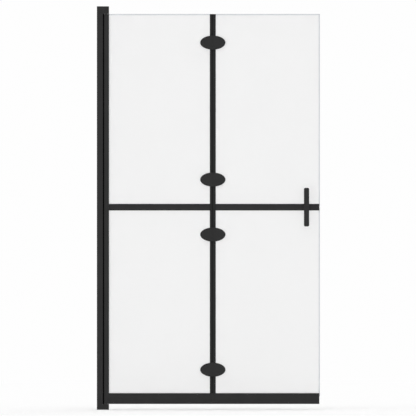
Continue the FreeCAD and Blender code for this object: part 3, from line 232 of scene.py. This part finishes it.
def moulded_plastic():
    """Black moulded plastic with a fine spark-eroded grain."""
    finish = Finish("moulded_plastic", Specular_IOR_Level=0.28, IOR=IOR)
    soft = finish.rounded(radius=0.4 * MILLIMETRE)
    grain = finish.noise(count=2200.0, detail=1.0)
    tone = finish.blend(finish.noise(count=20.0, detail=3.0), grain, share=0.5)
    return finish.wear(
        Base_Color=finish.tones(tone, grey(0.006), grey(0.024), start=NOISE_LOW, end=NOISE_HIGH),
        Roughness=finish.spread(grain, low=0.46, high=0.56),
        Normal=finish.bump(grain, strength=0.3, depth=0.04 * MILLIMETRE, Normal=soft),
    )


def extruded_rubber(name, painted_shade_black, dusty, shine):
    """Extruded rubber: drawing lines along its length, dusty on its outer faces, and darker deeper in as
    painted shade in its grooves.
    """
    finish = Finish(name, Specular_IOR_Level=shine, IOR=IOR)
    seal_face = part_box("inner_fold_seal")[1].y
    depth = finish.math("ABSOLUTE", finish.along("Y"))
    # Painted shade: the rubber darkens deeper in towards the grooves, and the outer faces carry dust
    dust_and_painted_shade = finish.spread(depth, low=0.0, high=1.0, start=DUST_AND_SHADE_FROM * seal_face, end=seal_face)
    lines = finish.noise(count=1.0, stretch=(1600.0, 1600.0, 8.0))
    bloom = finish.noise(count=30.0, detail=4.0)
    dust = finish.spread(finish.blend(lines, bloom, share=0.5), low=0.7, high=1.0)
    return finish.wear(
        Base_Color=finish.tones(finish.math("MULTIPLY", dust_and_painted_shade, dust), painted_shade_black, dusty),
        Roughness=finish.spread(bloom, low=0.6, high=0.75),
        Normal=finish.bump(lines, strength=0.3, depth=0.05 * MILLIMETRE),
    )


def seal_rubber():
    """Rubber of the fold seals and glazing gaskets."""
    return extruded_rubber("seal_rubber", grey(0.0015), grey(0.0185), shine=0.2)


def fin_rubber_painted_shade():
    """Soft rubber of the strip between the post and the swing profile, in darker colours and with less
    shine than the seal rubber: painted shade of the gap it sits in.
    """
    return extruded_rubber("fin_rubber_painted_shade", grey(0.0012), grey(0.003), shine=0.05)


def grey_nylon():
    """Grey moulded nylon."""
    finish = Finish("grey_nylon_finish", Specular_IOR_Level=0.4, IOR=IOR)
    cloud = finish.noise(count=120.0, detail=3.0)
    grain = finish.noise(count=1500.0)
    return finish.wear(
        Base_Color=finish.tones(cloud, grey(0.16), grey(0.2), start=NOISE_LOW, end=NOISE_HIGH),
        Roughness=finish.spread(cloud, low=0.42, high=0.52),
        Normal=finish.bump(grain, strength=0.2, depth=0.03 * MILLIMETRE),
    )


def turned_steel():
    """Stainless pins with fine turning lines round them."""
    finish = Finish("turned_steel", Metallic=1.0, Anisotropic=0.4)
    lines = finish.noise(count=1.0, detail=3.0, stretch=(200.0, 200.0, 5000.0))
    return finish.wear(
        Base_Color=finish.tones(lines, grey(0.5, blue=1.02), grey(0.6), start=NOISE_LOW, end=NOISE_HIGH),
        Roughness=finish.spread(lines, low=0.22, high=0.36),
        Normal=finish.bump(lines, strength=0.15, depth=0.01 * MILLIMETRE),
    )


def black_oxide():
    """Blackened steel screws, a little bare where a key has turned them."""
    finish = Finish("black_oxide", Metallic=0.7, Specular_IOR_Level=0.4)
    soft = finish.rounded(radius=0.2 * MILLIMETRE)
    cloud = finish.noise(count=500.0, detail=3.0)
    bare = finish.blend(cloud, finish.edges(soft), share=0.45)
    return finish.wear(
        Base_Color=finish.tones(bare, grey(0.018), grey(0.03), grey(0.12), start=0.1, end=0.8),
        Roughness=finish.spread(cloud, low=0.34, high=0.5),
        Normal=soft,
    )


def frosted_glass():
    """Toughened glass, etched in front and smoother behind, with a grey-blue band along its edges that is
    painted edge shade.
    """
    finish = Finish("frosted_glass_finish", Transmission_Weight=0.85, IOR=IOR, Specular_IOR_Level=0.5)
    face_tone = grey(0.966)
    # Painted shade colour for the glass's edges
    edge_tone_with_painted_light = (0.6, 0.63, 0.66)
    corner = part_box("outer_upper_glass")[1]
    skin = corner.y - GLASS_SKIN
    frost = finish.noise(count=3000.0, detail=1.0)
    front = finish.math("LESS_THAN", finish.along("Y"), -skin)
    back = finish.math("GREATER_THAN", finish.along("Y"), skin)
    etched = finish.math("MULTIPLY", front, finish.spread(frost, low=0.4, high=0.5))
    plain = finish.spread(back, low=0.1, high=0.3, start=0.0, end=1.0)
    below_top = finish.math("SUBTRACT", corner.z, finish.along("Z"))
    from_side = finish.math("SUBTRACT", corner.x, finish.along("X"))
    margin = finish.math("MINIMUM", below_top, from_side)
    # Painted shade: a grey-blue band painted along the top and outer edges, standing for the darker look of
    # the glass's edges
    painted_edge_shade = finish.spread(margin, low=1.0, high=0.0, start=GLASS_PAINTED_SHADE_START, end=GLASS_PAINTED_SHADE_END)
    cloud = finish.spread(finish.noise(count=5.0, detail=3.0), low=-0.01, high=0.01)
    return finish.wear(
        Base_Color=finish.tones(finish.math("ADD", painted_edge_shade, cloud), face_tone, edge_tone_with_painted_light),
        Roughness=finish.math("ADD", etched, plain),
        Normal=finish.bump(frost, strength=0.1, depth=0.02 * MILLIMETRE),
    )


# Finish of each material slot, and of single pieces that differ from the rest of their slot
SLOT_FINISHES = {
    "black_profile": profile_coat,
    "black_hinge": hinge_coat,
    "frosted_glass": frosted_glass,
    "black_rubber": seal_rubber,
    "black_plastic": moulded_plastic,
    "grey_nylon": grey_nylon,
    "steel": turned_steel,
    "black_screws": black_oxide,
}
# The pivot seal gets a darker rubber, painted shade of its gap
PIECE_FINISHES = {"pivot_seal": fin_rubber_painted_shade}


def dress_pieces():
    """Give every piece its finish."""
    by_slot = {slot: finish() for slot, finish in SLOT_FINISHES.items()}
    by_piece = {node: finish() for node, finish in PIECE_FINISHES.items()}
    for piece in frame["record"]["subparts"]:
        shown = frame["nodes"][piece["node"]]
        for place in shown.material_slots:
            place.material = by_piece.get(piece["node"], by_slot[piece["material_slot"]])


# Studio

def make_floor():
    """Pale floor at tray level."""
    level = cad_low.z - FLOOR_DROP
    corners = [(-FLOOR_REACH, -FLOOR_REACH), (FLOOR_REACH, -FLOOR_REACH)]
    corners += [(-x, -y) for x, y in corners]
    mesh = bpy.data.meshes.new("floor")
    mesh.from_pydata([(x, y, level) for x, y in corners], [], [range(len(corners))])
    floor = bpy.data.objects.new("floor", mesh)
    bpy.context.scene.collection.objects.link(floor)
    finish = Finish("floor_finish", Roughness=0.9, Specular_IOR_Level=0.0)
    cloud = finish.noise(count=3.0)
    tone = finish.tones(cloud, grey(FLOOR_DARK), grey(FLOOR_LIGHT), start=NOISE_LOW, end=NOISE_HIGH)
    mesh.materials.append(finish.wear(Base_Color=tone))


def make_sky():
    """Even soft light all round, which the camera, gloss and glass see as a white background."""
    world = bpy.data.worlds.new("studio")
    bpy.context.scene.world = world
    world.use_nodes = True
    tree = world.node_tree
    background = tree.nodes["Background"]
    background.inputs["Color"].default_value = (*grey(1.0), OPAQUE)
    rays = tree.nodes.new("ShaderNodeLightPath").outputs
    seen = rays["Is Camera Ray"]
    for kind in ("Is Glossy Ray", "Is Transmission Ray"):
        either = tree.nodes.new("ShaderNodeMath")
        either.operation = "MAXIMUM"
        tree.links.new(seen, either.inputs[0])
        tree.links.new(rays[kind], either.inputs[1])
        seen = either.outputs["Value"]
    level = tree.nodes.new("ShaderNodeMapRange")
    level.inputs["To Min"].default_value = SKY_LEVEL
    level.inputs["To Max"].default_value = BACKGROUND_LEVEL
    tree.links.new(seen, level.inputs["Value"])
    tree.links.new(level.outputs["Result"], background.inputs["Strength"])


def make_lamp(name, level, turn, height):
    """Soft distant lamp that adds its level to a white face turned to it. Turn 0 is straight in front."""
    data = bpy.data.lights.new(name, "SUN")
    data.energy = level * math.pi
    data.angle = LAMP_SOFTNESS
    lamp = bpy.data.objects.new(name, data)
    away = Vector((math.sin(turn) * math.cos(height), -math.cos(turn) * math.cos(height), math.sin(height)))
    lamp.location = away * LAMP_DISTANCE
    lamp.rotation_euler = away.to_track_quat("Z", "Y").to_euler()
    bpy.context.scene.collection.objects.link(lamp)


def make_camera():
    """Camera far in front, with the screen where the picture has it."""
    pixel = (cad_high.z - cad_low.z) / (POST_FOOT_PIXEL - POST_TOP_PIXEL)
    middle = PICTURE_SIDE / 2
    data = bpy.data.cameras.new("camera")
    data.lens = data.sensor_width * CAMERA_DISTANCE / (PICTURE_SIDE * pixel)
    data.clip_end = CAMERA_REACH
    camera = bpy.data.objects.new("camera", data)
    camera.location = (
        cad_low.x + (middle - POST_LEFT_PIXEL) * pixel,
        -CAMERA_DISTANCE,
        cad_high.z - (middle - POST_TOP_PIXEL) * pixel,
    )
    camera.rotation_euler = (LEVEL_TILT, 0.0, 0.0)
    bpy.context.scene.collection.objects.link(camera)
    bpy.context.scene.camera = camera


dress_pieces()
make_floor()
make_sky()
make_lamp("key_lamp", KEY_LEVEL, KEY_TURN, KEY_HEIGHT)
make_lamp("rim_lamp", RIM_LEVEL, RIM_TURN, RIM_HEIGHT)
make_camera()
bpy.context.scene.view_settings.view_transform = "Standard"
